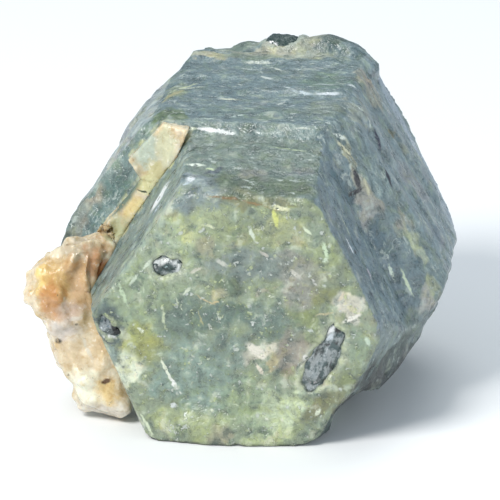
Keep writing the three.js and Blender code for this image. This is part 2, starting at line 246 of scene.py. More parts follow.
def blot(spot, at, size, turn=(0, 0, 0), strength=1.0, soft=0.6):  # an oval mask, in millimetres
    inputs = {"Vector": spot, "Location": at, "Rotation": turn, "Scale": size}
    inside = spot.add("ShaderNodeMapping", {"vector_type": "TEXTURE"}, inputs)
    return inside.vector("LENGTH", output="Value").between(1 + soft / 2, 1 - soft / 2, 0.0, strength)


def stroke(spot, start, end, width, strength):  # a mask that tapers from its middle to both ends
    along = end - start
    turn = tuple(along.to_track_quat("X", "Z").to_euler()) if along.length else (0, 0, 0)
    size = (along.length / 2 + width, width, width)
    return blot(spot, tuple((start + end) / 2), size, turn, strength, soft=0.7)


endMarkLight = 1.16


# a needle, crack or painted glint: both ends, half width, colour, light, strength
def mark(start, end, width, colour, light=1.2, strength=0.95):
    return Vector(start), Vector(end), width, strength, tone(*colour, light)


def endMark(x, z, toX, toZ, width, colour):  # the same on the six-sided end
    return mark((x, 0, z), (toX, 0, toZ), width, colour, endMarkLight)


def marksOn(colour, spot, marks, breaks):
    drawn = colour
    for start, end, width, strength, top in marks:
        drawn = stroke(spot, start, end, width, strength).mixed(drawn, top)
    return breaks.mixed(colour, drawn)


# mesh steps that the pieces share

def only(obj):
    bpy.ops.object.select_all(action="DESELECT")
    obj.select_set(True)
    bpy.context.view_layer.objects.active = obj


def applied(piece, kind, **settings):
    modifier = piece.modifiers.new(kind, kind)
    for name, value in settings.items():
        setattr(modifier, name, value)
    only(piece)
    bpy.ops.object.modifier_apply(modifier=modifier.name)


def skinOf(nodeName, newName, voxel):  # a merged copy of a node, in fine even faces
    piece = bpy.data.objects.new(newName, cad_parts[nodeName].data.copy())
    bpy.context.scene.collection.objects.link(piece)
    piece.data.materials.clear()
    only(piece)
    bpy.ops.object.mode_set(mode="EDIT")
    bpy.ops.mesh.select_all(action="SELECT")
    bpy.ops.mesh.remove_doubles(threshold=0.002 * mm)
    bpy.ops.object.mode_set(mode="OBJECT")
    applied(piece, "REMESH", mode="VOXEL", voxel_size=voxel * mm, use_smooth_shade=True)
    return piece


def swollen(piece, amount, group=""):  # pushed out, in millimetres
    applied(piece, "DISPLACE", strength=amount * mm, mid_level=0.0, vertex_group=group)


def relief(piece, group="", height=0.1, size=1.0, stretch=None, middle=0.5, depth=2, kind="CLOUDS"):
    texture = bpy.data.textures.new(piece.name + kind, kind)
    texture.noise_scale = size * mm if stretch is None else size
    if kind == "CLOUDS":
        texture.noise_depth = depth
    settings = {"texture": texture, "strength": height * mm, "mid_level": middle, "vertex_group": group}
    settings["texture_coords"] = "LOCAL" if stretch is None else "OBJECT"
    if stretch is not None:
        ruler = bpy.data.objects.new("ruler", None)
        ruler.scale = [value * mm for value in stretch]
        bpy.context.scene.collection.objects.link(ruler)
        bpy.context.view_layer.update()
        settings["texture_coords_object"] = ruler
    applied(piece, "DISPLACE", **settings)
    if stretch is not None:
        bpy.data.objects.remove(ruler)


def swell(piece, swells):  # what is shaped one by one: place, half sizes and push of each swelling
    for vertex in piece.data.vertices:
        spot = onCrystal(vertex.co)
        for at, halves, push in swells:
            reach = sum((part / half) ** 2 for part, half in zip(spot - Vector(at), halves))
            if reach < 1:
                vertex.co += Vector(push) * mm * (1 - reach) ** 2


def onFloor(piece, lowest):  # nothing reaches below this height
    for vertex in piece.data.vertices:
        vertex.co.z = max(vertex.co.z, lowest * mm)


def weigh(piece, name, weightOf):  # a vertex group from a rule on millimetres on the crystal
    group = piece.vertex_groups.new(name=name)
    for vertex in piece.data.vertices:
        group.add([vertex.index], weightOf(onCrystal(vertex.co), vertex.normal), "REPLACE")


def ramp(value, low, high):
    return min(1.0, max(0.0, (value - low) / (high - low)))


def gapTo(nodeNames):  # a rule for how far a point is from these nodes, in millimetres
    trees = []
    for name in nodeNames:
        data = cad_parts[name].data
        corners = [tuple(vertex.co) for vertex in data.vertices]
        trees.append(BVHTree.FromPolygons(corners, [tuple(face.vertices) for face in data.polygons]))

    def gap(spot):
        point = endCentre + spot * mm
        found = [tree.find_nearest(point)[3] for tree in trees]
        return min(reach for reach in found if reach is not None) / mm

    return gap


def convexity(piece, rounds):  # how far each point stands out of the smoothed skin, in millimetres
    calm = bpy.data.objects.new("calmSkin", piece.data.copy())
    bpy.context.scene.collection.objects.link(calm)
    applied(calm, "SMOOTH", factor=0.8, iterations=rounds)
    points = zip(piece.data.vertices, calm.data.vertices)
    heights = [(rough.co - smooth.co).dot(rough.normal) / mm for rough, smooth in points]
    bpy.data.meshes.remove(calm.data)
    return heights


def keepWearAndShade(piece, rounds):  # what stands out and what lies deep, for the finish: pale wear on the one, painted shade in the other
    wear = piece.data.attributes.new("wear", "FLOAT", "POINT")
    wear.data.foreach_set("value", convexity(piece, rounds))


def dressed(piece, finish):
    piece.data.materials.append(finish)
    only(piece)
    bpy.ops.object.shade_smooth()


# sapphire

patchDepth = 1.3  # half size of a patch on the six-sided end, along the crystal
softEdge = (1.3, 0.75)  # where a patch ends and where it is full, in its half sizes
endLight = 1.21
endGround = tone(156, 168, 144, endLight)
brokenGround = tone(138, 150, 138, 1.1)


def flatSide(side, reach, colour, light, taper=0.0, at=0.0):  # a flat side, as on the solid, and how it looks
    turn, lean = math.radians(side), math.radians(taper)
    out = Vector((math.cos(turn) * math.cos(lean), -math.sin(lean), math.sin(turn) * math.cos(lean)))
    foot = Vector((math.cos(turn) * reach, at, axisHeight + math.sin(turn) * reach))
    return {"out": out, "foot": foot, "colour": tone(*colour, light)}


# a stain or patch: place, half sizes, colour, cover, light, turn about the long axis
def stain(at, size, colour, cover, light, turn=0):
    turned = Matrix.Rotation(math.radians(turn), 3, "Y").transposed()
    return Vector(at), max(size) * softEdge[0], size, turned, Vector(tone(*colour, light)[:3]), cover


def endStain(x, z, width, height, colour, cover, turn=0):  # the same on the six-sided end
    return stain((x, 0, z), (width, patchDepth, height), colour, cover, endLight, turn)


sapphireSkin = {
    "voxel": 0.171,
    "terraces": {"stretch": (3.6, 1.6, 3.6), "height": 0.24, "middle": 0.45},
    "striae": {"stretch": (1.5, 0.8, 1.5), "height": 0.11, "depth": 3},
    "lumps": {"size": 1.5, "height": 0.24},
    "brokenLumps": {"size": 2.2, "height": 0.42, "depth": 4, "middle": 0.4},
    "grain": {"size": 0.55, "height": 0.08},
    "edgeChips": {"size": 0.8, "height": 0.26, "middle": 0.75, "depth": 3},
    "edgeRounds": 14,
    "wearRounds": 10,
    "swollen": {"flakeRims": 0.3, "seamRims": 0.16, "crest": 0.08, "foot": 0.45},
    "swells": [
        ((-6.0, 21.4, 19.8), (2.4, 3.0, 1.8), (-0.5, 0.0, 0.4)),
        ((-1.8, 22.4, 20.5), (2.6, 1.8, 1.4), (0.0, 0.0, -0.3)),
        ((-10.8, 14.0, 14.2), (3.2, 8.0, 3.4), (0.3, 0.0, -0.25)),
        ((3.0, 22.4, 20.6), (2.6, 1.4, 1.2), (0.0, 0.0, 0.14)),
        ((-0.8, 0.0, 0.4), (5.6, 2.0, 2.6), (0.0, -0.5, 0.0)),
        ((6.9, 0.0, 3.1), (1.8, 2.4, 2.6), (-0.3, 0.0, 0.05)),
    ],
    "frontSides": [
        flatSide(88.5, 8.4, (121, 137, 128), 1.24, 12.5),
        flatSide(26, 8.55, (118, 132, 137), 0.84, 3.5),
        flatSide(-23.8, 9.17, (118, 131, 130), 0.9, 20.5),
        # the lower right side faces the floor; its dark colour is painted shade
        flatSide(-35.5, 9.35, (78, 90, 88), 1.0, 17.5),
        flatSide(-157, 8.7, (140, 152, 140), 1.0, 6),
        flatSide(146.5, 7.5, (136, 152, 148), 1.18, 7.5),
        flatSide(-90, 9.0, (130, 140, 130), 0.8),
    ],
    "rearSides": [
        flatSide(90, 10.75, (120, 139, 142), 1.24),
        flatSide(32.3, 11.23, (124, 138, 141), 0.81),
        flatSide(-28.5, 12.0, (112, 124, 125), 0.9),
        # the lower right side faces the floor; its dark colour is painted shade
        flatSide(-46, 10.95, (68, 82, 78), 1.1),
        flatSide(-158, 11.9, (136, 148, 138), 1.0),
        flatSide(144, 11.5, (165, 176, 174), 1.18),
        flatSide(-90, 9.0, (130, 140, 130), 0.8),
        flatSide(90, 10.75, (132, 150, 146), 1.28, 48, 7.6),
        flatSide(31, 11.1, (118, 133, 136), 0.95, 52, 8.4),
        flatSide(32.3, 11.0, (124, 138, 138), 0.9, 24, 9.4),
        flatSide(147, 11.2, (132, 150, 144), 1.18, 56, 8.2),
    ],
    "patchSway": [(0.6, 0.7), (1.7, 0.5)],  # how fine, and how far patches stray from their places
    "rims": {
        # round the flakes: pale crystal, partly painted glints on their edges
        "pale": tone(206, 212, 190, 1.3),
        "dark": tone(84, 98, 98, 1.2),
        "seam": tone(196, 198, 160, 1.3),
        # painted shade: the lowest skin, next to the floor, is darker
        "foot": tone(62, 76, 62, 1.2),
    },
    "patches": [
        # on the six-sided end
        endStain(-5.6, 10.4, 2.6, 2.9, (160, 175, 145), 0.75, 30),
        endStain(-4.2, 13.6, 2.0, 1.6, (168, 182, 152), 0.7, 20),
        endStain(-2.0, 15.4, 1.9, 1.3, (182, 192, 150), 0.8),
        endStain(-2.7, 14.7, 0.55, 0.6, (222, 226, 168), 0.95),
        endStain(-1.55, 13.85, 0.7, 0.65, (184, 182, 152), 1.0),
        endStain(1.4, 17.1, 3.4, 0.4, (140, 138, 104), 0.7, 8),
        endStain(0.7, 14.8, 1.8, 1.0, (150, 160, 122), 0.8, 10),
        endStain(3.6, 14.9, 1.6, 1.1, (170, 176, 138), 0.8, 10),
        endStain(2.9, 16.0, 0.6, 0.5, (204, 208, 154), 0.6),
        endStain(5.9, 13.0, 1.0, 1.7, (166, 178, 134), 0.75, 28),
        endStain(1.2, 12.5, 2.9, 1.1, (138, 150, 145), 0.85),
        endStain(4.6, 11.6, 1.5, 1.8, (164, 162, 152), 0.8, 15),
        endStain(6.4, 10.8, 0.9, 1.1, (148, 152, 106), 0.7, 20),
        endStain(6.9, 12.2, 0.7, 1.0, (144, 154, 132), 0.8, 25),
        endStain(7.8, 10.0, 0.9, 0.8, (224, 219, 202), 1.0, 20),
        endStain(0.0, 11.2, 0.9, 0.7, (110, 126, 104), 0.8),
        endStain(-0.95, 10.7, 0.5, 0.55, (196, 190, 156), 0.75),
        endStain(2.2, 10.75, 0.45, 0.35, (200, 194, 172), 0.7),
        endStain(-2.9, 8.8, 1.6, 2.0, (116, 134, 124), 0.85, 25),
        endStain(-0.3, 9.2, 1.7, 0.9, (110, 130, 120), 0.85),
        endStain(2.6, 8.7, 1.9, 1.3, (122, 140, 130), 0.8),
        endStain(6.2, 5.0, 0.5, 2.0, (176, 178, 140), 0.7, -20),
        endStain(4.6, 6.4, 0.4, 0.6, (236, 230, 214), 0.9),
        endStain(5.0, 9.2, 1.3, 0.8, (146, 156, 110), 0.8, 20),
        endStain(1.7, 6.55, 1.05, 0.7, (234, 226, 206), 1.0, -20),
        endStain(2.6, 5.5, 0.4, 0.65, (196, 184, 146), 0.85),
        endStain(3.9, 6.6, 1.1, 1.5, (168, 158, 146), 0.85, 15),
        endStain(-6.1, 7.0, 1.2, 1.3, (180, 184, 118), 0.9, 20),
        endStain(-5.3, 6.6, 0.6, 0.9, (164, 164, 98), 0.75),
        endStain(-7.1, 4.9, 0.8, 1.6, (238, 242, 214), 1.0, 24),
        endStain(-8.0, 6.4, 0.5, 1.2, (146, 164, 158), 0.85, 20),
        endStain(-8.2, 8.1, 0.9, 1.0, (84, 100, 106), 1.0, 20),
        endStain(-2.6, 4.7, 2.7, 2.5, (148, 168, 156), 0.85),
        endStain(-0.2, 6.6, 1.4, 1.4, (134, 152, 142), 0.7),
        endStain(-2.6, 1.4, 2.8, 0.9, (180, 190, 148), 0.85),
        endStain(1.2, 2.9, 2.2, 1.6, (162, 178, 146), 0.8),
        endStain(3.3, 2.5, 1.5, 1.3, (214, 226, 190), 0.95, -20),
        endStain(-0.5, 0.9, 0.8, 0.6, (184, 178, 152), 0.85),
        endStain(2.4, 0.7, 1.7, 0.6, (192, 204, 164), 0.8),
        endStain(6.0, 3.0, 1.9, 0.7, (136, 136, 104), 0.85, -52),
        endStain(8.3, 7.2, 0.9, 1.8, (154, 170, 146), 0.8, 8),
        endStain(7.4, 4.9, 0.6, 1.6, (140, 150, 116), 0.7, 40),
        # top of the rear tier and its crest
        stain((1.6, 21.3, 20.0), (3.6, 0.9, 0.9), (180, 186, 168), 0.85, 1.3),
        stain((-3.6, 20.5, 19.9), (1.9, 0.45, 0.8), (196, 194, 166), 0.9, 1.3),
        stain((-2.4, 21.6, 20.1), (1.9, 0.4, 0.8), (196, 200, 180), 0.9, 1.3),
        stain((-4.2, 22.3, 20.3), (2.2, 0.8, 0.8), (104, 122, 108), 0.9, 1.2),
        stain((-1.2, 20.6, 19.9), (1.4, 0.5, 0.7), (118, 134, 116), 0.8, 1.2),
        stain((0.2, 21.7, 20.2), (1.4, 0.5, 0.8), (204, 200, 176), 0.9, 1.3),
        stain((4.4, 22.9, 20.8), (1.7, 1.0, 0.7), (84, 102, 94), 1.0, 1.2),
        stain((2.3, 22.7, 20.8), (1.4, 1.0, 0.7), (176, 178, 156), 0.9, 1.2),
        stain((-3.0, 23.0, 20.0), (3.0, 1.0, 0.9), (122, 136, 124), 0.8, 1.2),
        stain((-5.3, 8.5, 19.7), (1.1, 0.9, 0.9), (104, 122, 86), 0.9, 1.24),
        stain((-5.2, 13.4, 19.8), (0.8, 1.8, 0.8), (140, 152, 122), 0.65, 1.24),
        stain((4.6, 16.6, 19.8), (2.2, 2.0, 0.8), (114, 138, 124), 0.65, 1.24),
        stain((-2.2, 14.5, 19.8), (2.2, 2.6, 0.8), (112, 132, 136), 0.6, 1.24),
        stain((0.6, 9.6, 19.8), (4.2, 1.4, 0.8), (122, 142, 134), 0.6, 1.24),
        stain((5.0, 10.8, 19.8), (1.2, 1.8, 0.9), (140, 152, 138), 0.6, 1.24),
        # top of the front tier and its chipped corner
        stain((1.7, 1.3, 17.8), (3.6, 1.3, 0.8), (94, 110, 88), 0.9, 1.24),
        stain((1.3, 2.8, 18.0), (1.0, 0.6, 0.6), (146, 148, 142), 0.7, 1.24),
        stain((4.2, 3.3, 18.1), (0.9, 0.6, 0.6), (128, 134, 136), 0.7, 1.24),
        stain((-2.9, 0.7, 17.5), (1.8, 1.8, 1.3), (144, 158, 160), 0.95, 1.24),
        stain((-1.5, 2.8, 18.1), (0.5, 0.35, 0.5), (84, 96, 106), 0.9, 1.24),
        stain((-1.5, 1.0, 17.7), (0.6, 0.35, 0.5), (88, 100, 106), 0.9, 1.24),
        stain((-2.5, 0.3, 17.4), (0.5, 0.4, 0.5), (92, 108, 114), 0.9, 1.3),
        stain((-2.3, 1.8, 17.8), (0.9, 0.4, 0.5), (128, 140, 148), 0.8, 1.24),
        # upper left sides and the left of the ledge
        stain((-5.6, 0.5, 14.4), (3.4, 0.8, 0.8), (168, 180, 162), 0.8, 1.18, -56),
        stain((-8.0, 0.6, 10.9), (2.2, 0.9, 0.8), (158, 172, 160), 0.75, 1.18, -56),
        stain((-10.6, 8.1, 12.8), (2.0, 0.9, 0.7), (172, 162, 142), 0.75, 1.18, -54),
        stain((-9.9, 7.5, 12.6), (1.6, 1.0, 0.8), (106, 130, 128), 0.8, 1.18, -54),
        stain((-8.5, 7.4, 14.6), (1.3, 0.9, 0.7), (104, 130, 124), 0.75, 1.18, -54),
        stain((-9.4, 16.0, 16.0), (4.0, 5.0, 1.0), (180, 184, 188), 0.8, 1.18, -54),
        stain((-11.4, 9.2, 12.0), (1.6, 1.2, 0.8), (146, 156, 148), 0.8, 1.3, -54),
        stain((-12.2, 8.0, 10.8), (0.9, 0.9, 0.9), (78, 86, 80), 0.9, 1.3),
        # broken patches on the right of the ledge
        stain((6.75, 8.0, 17.7), (1.2, 0.6, 0.5), (172, 170, 146), 0.95, 0.9, 60),
        stain((7.3, 7.7, 16.3), (1.0, 0.5, 0.5), (172, 169, 152), 0.9, 0.9, 66),
        stain((8.25, 7.5, 14.5), (1.8, 0.9, 0.7), (158, 156, 147), 0.95, 0.9, 80),
        stain((8.4, 7.1, 13.4), (0.5, 0.5, 0.5), (178, 178, 174), 0.9, 0.9),
        stain((7.6, 6.6, 14.6), (1.0, 0.5, 0.4), (74, 90, 100), 0.8, 0.9, 66),
        stain((6.7, 6.0, 16.2), (1.6, 0.6, 0.5), (98, 118, 124), 0.8, 0.9, 64),
        stain((9.4, 7.0, 11.6), (1.6, 0.9, 0.6), (94, 114, 122), 0.8, 0.9, 62),
        stain((10.3, 9.1, 12.9), (0.9, 0.7, 0.5), (150, 152, 142), 0.85, 0.9, 40),
        stain((11.5, 8.8, 10.9), (1.5, 0.6, 0.6), (164, 171, 150), 0.9, 0.9, 60),
        stain((12.7, 8.2, 8.7), (0.7, 0.6, 0.6), (156, 162, 138), 0.85, 0.9, 60),
        stain((10.4, 8.3, 10.9), (1.2, 0.5, 0.5), (88, 108, 116), 0.75, 0.9, 60),
        # upper right sides
        stain((7.0, 1.5, 14.6), (4.2, 0.9, 0.7), (107, 119, 123), 0.95, 0.81, 64),
        stain((8.6, 3.6, 11.7), (2.4, 1.1, 0.7), (108, 124, 130), 0.75, 0.81, 64),
        stain((7.2, 4.6, 14.6), (2.0, 1.2, 0.7), (106, 122, 129), 0.75, 0.81, 64),
        stain((10.4, 14.6, 13.4), (2.0, 1.8, 0.8), (134, 138, 140), 0.8, 0.81, 58),
        stain((9.8, 17.4, 14.7), (0.8, 0.7, 0.6), (144, 150, 136), 0.8, 0.9, 58),
        stain((9.0, 17.4, 16.0), (0.5, 0.5, 0.5), (116, 112, 86), 0.8, 0.81),
        stain((7.4, 18.4, 18.5), (1.4, 1.6, 0.8), (154, 152, 136), 0.8, 1.0, 50),
        stain((6.9, 12.6, 19.0), (0.9, 2.2, 0.9), (152, 158, 148), 0.7, 1.0, 40),
        stain((12.0, 12.6, 10.6), (2.0, 1.6, 0.8), (118, 128, 134), 0.7, 0.81, 58),
        # lower right side: its dark stains are painted shade, where it faces the floor
        stain((12.4, 7.6, 7.7), (1.0, 1.0, 0.8), (162, 160, 154), 0.9, 0.85, 20),
        stain((11.2, 6.2, 6.4), (1.4, 1.6, 0.9), (122, 134, 130), 0.8, 0.9, -60),
        stain((9.6, 4.6, 4.2), (1.7, 3.2, 1.2), (58, 72, 67), 1.0, 1.2, -50),
        stain((8.6, 3.6, 2.2), (1.6, 3.2, 1.2), (52, 60, 60), 1.0, 1.4, -50),
        stain((9.7, 5.2, 3.3), (1.9, 4.2, 1.5), (52, 64, 60), 1.0, 1.2, -50),
        stain((7.2, 1.4, 3.4), (2.8, 1.2, 0.8), (56, 68, 62), 1.0, 1.2, -56),
        stain((10.4, 5.2, 5.0), (1.6, 1.8, 0.9), (66, 80, 76), 0.9, 1.1, -56),
        stain((12.4, 8.9, 6.2), (0.35, 0.5, 0.35), (56, 70, 62), 0.95, 0.7),
    ],
    "endMarks": [
        # white and pale marks are mostly painted glints; the white needle is a crack with a painted highlight
        # along it; the brown lines are stains
        endMark(-4.75, 5.95, -3.85, 4.1, 0.09, (232, 238, 214)),
        endMark(-4.15, 4.7, -3.0, 2.8, 0.13, (246, 248, 236)),
        endMark(-3.95, 4.3, -3.8, 4.0, 0.14, (250, 250, 244)),
        endMark(-3.58, 3.7, -3.45, 3.45, 0.14, (250, 250, 240)),
        endMark(-3.86, 2.57, -3.86, 2.57, 0.2, (232, 236, 234)),
        endMark(-1.6, 17.35, 1.0, 17.1, 0.09, (140, 118, 84)),
        endMark(0.7, 17.1, 3.2, 16.5, 0.09, (152, 130, 90)),
        endMark(2.4, 16.75, 3.6, 16.6, 0.16, (236, 236, 196)),
        endMark(2.75, 16.4, 2.95, 15.5, 0.17, (222, 226, 138)),
        endMark(1.15, 15.3, 1.45, 14.5, 0.14, (222, 232, 212)),
        endMark(5.95, 14.3, 6.2, 13.5, 0.15, (214, 232, 198)),
        endMark(6.1, 13.2, 6.1, 13.2, 0.18, (226, 240, 214)),
        endMark(-4.5, 9.2, -4.42, 8.1, 0.1, (208, 218, 184)),
        endMark(-7.35, 10.9, -6.85, 9.6, 0.13, (204, 222, 188)),
        endMark(-6.6, 11.0, -6.15, 11.7, 0.11, (214, 226, 204)),
        endMark(-2.3, 10.4, -1.2, 9.85, 0.07, (206, 192, 152)),
        endMark(-1.3, 9.9, -0.4, 10.25, 0.08, (212, 196, 150)),
        endMark(-2.2, 9.3, -1.9, 8.4, 0.08, (186, 182, 140)),
        endMark(5.5, 9.35, 7.2, 9.75, 0.08, (204, 196, 160)),
        endMark(6.9, 10.1, 7.3, 11.1, 0.12, (226, 214, 190)),
        endMark(4.85, 6.3, 4.85, 6.3, 0.24, (252, 248, 240)),
        endMark(-0.4, 12.6, -0.9, 12.9, 0.13, (204, 206, 194)),
        endMark(1.9, 13.6, 2.7, 13.0, 0.12, (206, 202, 190)),
        endMark(3.9, 12.4, 4.5, 11.9, 0.13, (206, 204, 192)),
        endMark(1.25, 6.95, 2.0, 6.35, 0.34, (246, 240, 224)),
        endMark(-0.75, 0.85, -0.75, 0.85, 0.19, (250, 250, 246)),
        endMark(-6.3, 2.2, -5.2, 0.3, 0.12, (228, 238, 208)),
        endMark(-0.3, 1.05, -0.3, 1.05, 0.15, (226, 226, 214)),
        endMark(2.3, 1.9, 2.3, 1.9, 0.12, (240, 244, 226)),
        endMark(3.2, 1.9, 3.35, 1.8, 0.13, (240, 244, 220)),
        endMark(0.1, 2.9, 0.35, 2.8, 0.1, (216, 226, 196)),
        endMark(5.6, 2.4, 5.75, 2.7, 0.14, (232, 238, 214)),
        endMark(-5.7, 12.2, -5.3, 12.7, 0.12, (226, 236, 214)),
        endMark(-3.1, 10.5, -2.7, 10.9, 0.1, (222, 230, 206)),
        endMark(-2.6, 12.0, -2.1, 12.3, 0.12, (214, 212, 194)),
        endMark(-1.8, 15.3, -1.1, 15.1, 0.13, (230, 236, 198)),
        endMark(-3.6, 10.1, -3.3, 9.4, 0.08, (210, 220, 192)),
        endMark(-6.1, 7.9, -5.8, 7.7, 0.11, (232, 238, 212)),
        endMark(4.7, 15.4, 5.1, 15.0, 0.11, (228, 238, 208)),
        endMark(5.2, 11.8, 5.5, 11.5, 0.1, (212, 212, 204)),
        endMark(-1.5, 8.4, -1.3, 8.0, 0.09, (216, 218, 202)),
        endMark(1.6, 5.7, 2.0, 5.2, 0.15, (240, 230, 210)),
        endMark(-1.4, 2.4, -1.0, 2.2, 0.1, (222, 228, 202)),
        endMark(7.4, 9.0, 8.3, 9.5, 0.14, (250, 246, 234)),
        endMark(-3.5, 0.45, -3.2, 0.5, 0.15, (232, 238, 216)),
        endMark(-7.9, 7.4, -7.9, 7.4, 0.24, (238, 240, 240)),
        endMark(9.0, 7.5, 8.8, 7.9, 0.15, (214, 230, 208)),
    ],
    "sideMarks": [
        # on the tops: the pale marks are painted glints on the ledge and the growth steps; the tan one is a
        # stain
        mark((-4.4, 6.6, 19.55), (-3.2, 7.1, 19.4), 0.16, (222, 230, 204)),
        mark((-2.95, 7.2, 19.35), (-1.3, 7.1, 19.25), 0.16, (254, 255, 254)),
        mark((-1.6, 7.1, 19.2), (-0.7, 7.1, 19.1), 0.18, (238, 242, 238)),
        mark((3.5, 7.4, 19.55), (5.6, 7.7, 19.35), 0.1, (214, 222, 208)),
        mark((5.9, 8.0, 19.0), (6.6, 8.6, 18.6), 0.15, (222, 230, 220), 1.0),
        mark((1.9, 5.9, 18.7), (4.3, 5.6, 18.62), 0.08, (196, 212, 176)),
        mark((-3.2, 3.25, 18.2), (-2.3, 3.2, 18.2), 0.15, (240, 250, 234)),
        mark((-1.9, 2.9, 18.1), (-1.6, 2.9, 18.1), 0.12, (204, 220, 180)),
        mark((-2.85, 1.6, 17.8), (-2.85, 1.6, 17.8), 0.27, (240, 246, 248)),
        mark((-3.3, 0.9, 17.5), (-3.0, 1.2, 17.7), 0.14, (206, 220, 226)),
        mark((-5.35, 3.4, 15.4), (-4.9, 3.8, 16.1), 0.6, (246, 250, 252), 1.1),
        mark((-5.3, 2.3, 15.1), (-5.0, 2.4, 15.6), 0.12, (206, 216, 226)),
        mark((-5.9, 12.6, 19.65), (-3.9, 15.5, 19.8), 0.13, (204, 214, 178)),
        mark((-5.1, 13.7, 19.8), (-3.1, 14.9, 19.8), 0.12, (196, 206, 186)),
        mark((-6.0, 11.7, 19.6), (-4.9, 13.4, 19.8), 0.2, (176, 172, 132), 1.2, 0.8),
        mark((2.2, 14.0, 19.85), (3.8, 13.6, 19.8), 0.12, (202, 216, 220)),
        mark((4.3, 13.7, 19.8), (5.7, 13.8, 19.8), 0.15, (222, 230, 234)),
        mark((3.9, 15.8, 19.75), (5.1, 15.7, 19.75), 0.12, (194, 206, 204)),
        mark((6.2, 15.9, 19.7), (6.4, 15.9, 19.6), 0.2, (226, 234, 232)),
        mark((-2.0, 12.1, 19.8), (-1.2, 12.1, 19.8), 0.18, (212, 218, 196)),
        mark((-2.9, 8.1, 19.8), (-2.2, 8.1, 19.8), 0.13, (212, 228, 214)),
        mark((-1.2, 8.5, 19.8), (-0.4, 8.9, 19.8), 0.11, (196, 212, 206)),
        mark((-1.2, 19.8, 19.8), (0.2, 19.8, 19.8), 0.16, (206, 214, 202)),
        mark((0.4, 19.2, 19.8), (1.6, 18.3, 19.8), 0.12, (200, 210, 198)),
        mark((-0.3, 19.1, 19.8), (0.0, 17.6, 19.85), 0.12, (196, 208, 198)),
        mark((0.1, 16.6, 19.85), (0.7, 16.4, 19.85), 0.15, (204, 214, 208)),
        mark((1.9, 14.6, 19.85), (2.9, 13.8, 19.8), 0.12, (206, 216, 214)),
        mark((1.8, 11.3, 19.8), (2.2, 12.2, 19.8), 0.13, (202, 212, 206)),
        mark((2.6, 11.0, 19.8), (2.9, 11.5, 19.8), 0.1, (196, 208, 210)),
        # on the right: dark cracks, pale marks and the pale rim; the whitest short marks are painted glints
        mark((6.15, 7.8, 18.6), (6.9, 8.1, 17.6), 0.14, (206, 204, 176), 0.9),
        mark((7.25, 7.65, 16.6), (7.6, 7.5, 15.6), 0.2, (50, 62, 68), 0.9),
        mark((7.7, 7.45, 15.45), (7.0, 6.9, 15.2), 0.16, (48, 60, 66), 0.9),
        mark((7.9, 8.0, 15.9), (8.2, 7.7, 15.1), 0.15, (188, 186, 160), 0.9),
        mark((8.15, 12.7, 17.9), (8.5, 12.3, 16.6), 0.17, (52, 66, 78), 0.81),
        mark((8.6, 11.8, 16.5), (8.95, 11.0, 16.1), 0.15, (62, 76, 86), 0.81),
        mark((9.1, 10.3, 15.9), (9.5, 9.8, 14.9), 0.16, (52, 64, 72), 0.9),
        mark((7.8, 12.7, 18.5), (8.0, 12.2, 17.9), 0.14, (192, 202, 194), 0.9),
        mark((9.65, 6.8, 10.4), (10.0, 6.8, 9.5), 0.12, (212, 224, 208), 0.9),
        mark((10.5, 7.1, 9.9), (11.2, 7.0, 8.4), 0.11, (200, 212, 186), 0.9),
        mark((6.8, 3.4, 15.1), (7.4, 3.2, 13.8), 0.1, (184, 192, 172), 0.81),
        mark((7.3, 2.1, 13.9), (7.65, 2.1, 13.1), 0.15, (224, 228, 230), 0.81),
        mark((7.8, 2.6, 12.9), (7.8, 2.6, 12.9), 0.17, (66, 66, 70), 0.81),
        mark((8.9, 1.5, 10.6), (9.25, 1.7, 10.1), 0.15, (54, 66, 72), 0.81),
        mark((8.55, 3.2, 11.4), (8.85, 3.1, 10.9), 0.14, (198, 190, 196), 0.81),
        mark((7.2, 22.8, 18.4), (9.9, 20.9, 14.3), 0.75, (168, 180, 190), 0.9, 0.7),
        mark((9.9, 20.9, 14.3), (13.2, 18.0, 9.2), 0.75, (168, 180, 190), 0.9, 0.7),
    ],
}


def groundAt(spot, normal):  # the ground colour of the flat side that a point lies in
    if normal.y > 0.45 and spot.y > 12:  # the broken rear end
        return brokenGround
    if spot.y < 0.5 and normal.y < -0.5:  # the six-sided end
        return endGround
    sides = sapphireSkin["frontSides" if spot.y < ledgeAt else "rearSides"]
    return max(sides, key=lambda side: (spot - side["foot"]).dot(side["out"]))["colour"]


def layered(colour, covered, top, share):  # one more layer of colour, and how much is covered then
    total = covered + share * (1 - covered)
    return colour.lerp(top, share / total), total


